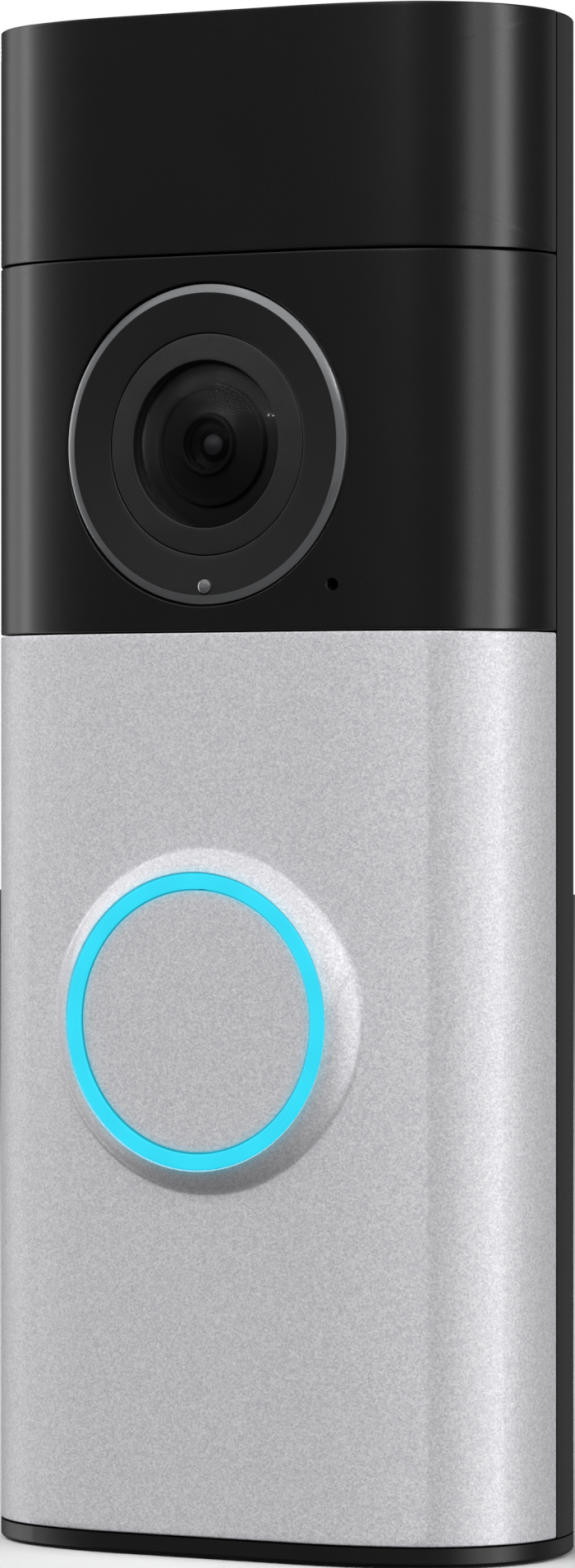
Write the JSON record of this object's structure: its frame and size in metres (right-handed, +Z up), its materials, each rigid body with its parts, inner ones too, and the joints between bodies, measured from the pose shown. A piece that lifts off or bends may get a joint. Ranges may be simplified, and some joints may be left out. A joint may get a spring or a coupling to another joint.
{
  "type": "video doorbell",
  "caption": "Slim wall-mounted video doorbell with a round camera at the top, a lit push button and a removable satin metal faceplate",
  "frame": {"origin": "middle of the flat back face, half way between the two wall screw holes", "axes": "+Z up along the long side, +Y into the wall, so the camera and button face -Y, and +X to the right seen from in front"},
  "size_m": [0.0504, 0.0256, 0.126],
  "materials": {
    "housing_black": "moulded ABS and polycarbonate blend, fine satin grain",
    "cover_black": "moulded polycarbonate, fine satin grain",
    "satin_nickel": "bead-blasted, satin nickel plated",
    "halo_acrylic": "opal acrylic, edge lit, glowing",
    "bezel_acrylic": "infrared-clear black acrylic, polished",
    "trim_anodised": "black anodised",
    "lens_glass": "coated, polished",
    "barrel_black": "ribbed, matt",
    "sensor_clear": "clear bead",
    "circuit_board": "glass epoxy with green solder mask",
    "chip_black": "moulded epoxy",
    "lamp_white": "white lamp body with clear face",
    "guide_clear": "clear acrylic light guide",
    "chassis_grey": "glass-filled nylon, moulded",
    "rubber_black": "silicone rubber",
    "shield_steel": "tin-plated steel",
    "screw_steel": "zinc-plated steel",
    "terminal_brass": "turned brass",
    "speaker_mesh": "woven acoustic mesh",
    "ribbon_amber": "polyimide flat ribbon",
    "switch_metal": "pressed steel cover"
  },
  "bodies": {
    "housing": {"rear_housing": "housing_black", "base_cap": "housing_black", "camera_cover": "cover_black", "light_guide": "guide_clear", "halo_leds": "lamp_white", "halo_board": "circuit_board", "tactile_switch": "switch_metal", "lens_bezel": "bezel_acrylic", "lens_trim": "trim_anodised", "lens_window": "lens_glass", "lens_barrel": "barrel_black", "front_element": "lens_glass", "camera_module": "chip_black", "camera_board": "circuit_board", "illuminator_board": "circuit_board", "infrared_leds": "lamp_white", "sensor_window": "sensor_clear", "light_sensor": "chip_black", "microphone_boot": "rubber_black", "microphone": "shield_steel", "microphone_board": "circuit_board", "chassis": "chassis_grey", "housing_gasket": "rubber_black", "main_board": "circuit_board", "processor_shield": "shield_steel", "radio_shield": "shield_steel", "power_capacitor": "shield_steel", "board_connector": "chip_black", "button_ribbon": "ribbon_amber", "antenna": "ribbon_amber", "speaker": "chip_black", "speaker_mesh": "speaker_mesh", "terminal_posts": "terminal_brass", "cover_screws": "screw_steel", "chassis_screws": "screw_steel", "board_screws": "screw_steel", "base_screws": "screw_steel"},
    "faceplate": {"faceplate": "satin_nickel", "halo_diffuser": "halo_acrylic"},
    "button": {"button_cap": "satin_nickel"},
    "plunger": {"switch_plunger": "chip_black"},
    "top_cap": {"top_cap": "cover_black"},
    "security_screw": {"security_screw": "screw_steel"},
    "terminal_left": {"terminal_screw_left": "screw_steel"},
    "terminal_right": {"terminal_screw_right": "screw_steel"}
  },
  "joints": [
    {"name": "faceplate_release", "type": "slide", "parent": "housing", "child": "faceplate", "axis": [0, -1, 0], "range_m": [0, 0.03]},
    {"name": "button_press", "type": "slide", "parent": "faceplate", "child": "button", "axis": [0, 1, 0], "range_m": [0, 0.0005], "stiffness_N_per_m": 1500},
    {"name": "plunger_press", "type": "slide", "parent": "housing", "child": "plunger", "axis": [0, 1, 0], "range_m": [0, 0.0005]},
    {"name": "top_cap_release", "type": "slide", "parent": "housing", "child": "top_cap", "axis": [0, -1, 0], "range_m": [0, 0.03]},
    {"name": "security_screw_out", "type": "slide", "parent": "housing", "child": "security_screw", "axis": [0, 0, -1], "range_m": [0, 0.008]},
    {"name": "terminal_left_loosen", "type": "slide", "parent": "housing", "child": "terminal_left", "axis": [0, 1, 0], "range_m": [0, 0.0025]},
    {"name": "terminal_right_loosen", "type": "slide", "parent": "housing", "child": "terminal_right", "axis": [0, 1, 0], "range_m": [0, 0.0025]}
  ],
  "couplings": [
    {"joint": "plunger_press", "follows": "button_press", "ratio": 1}
  ]
}
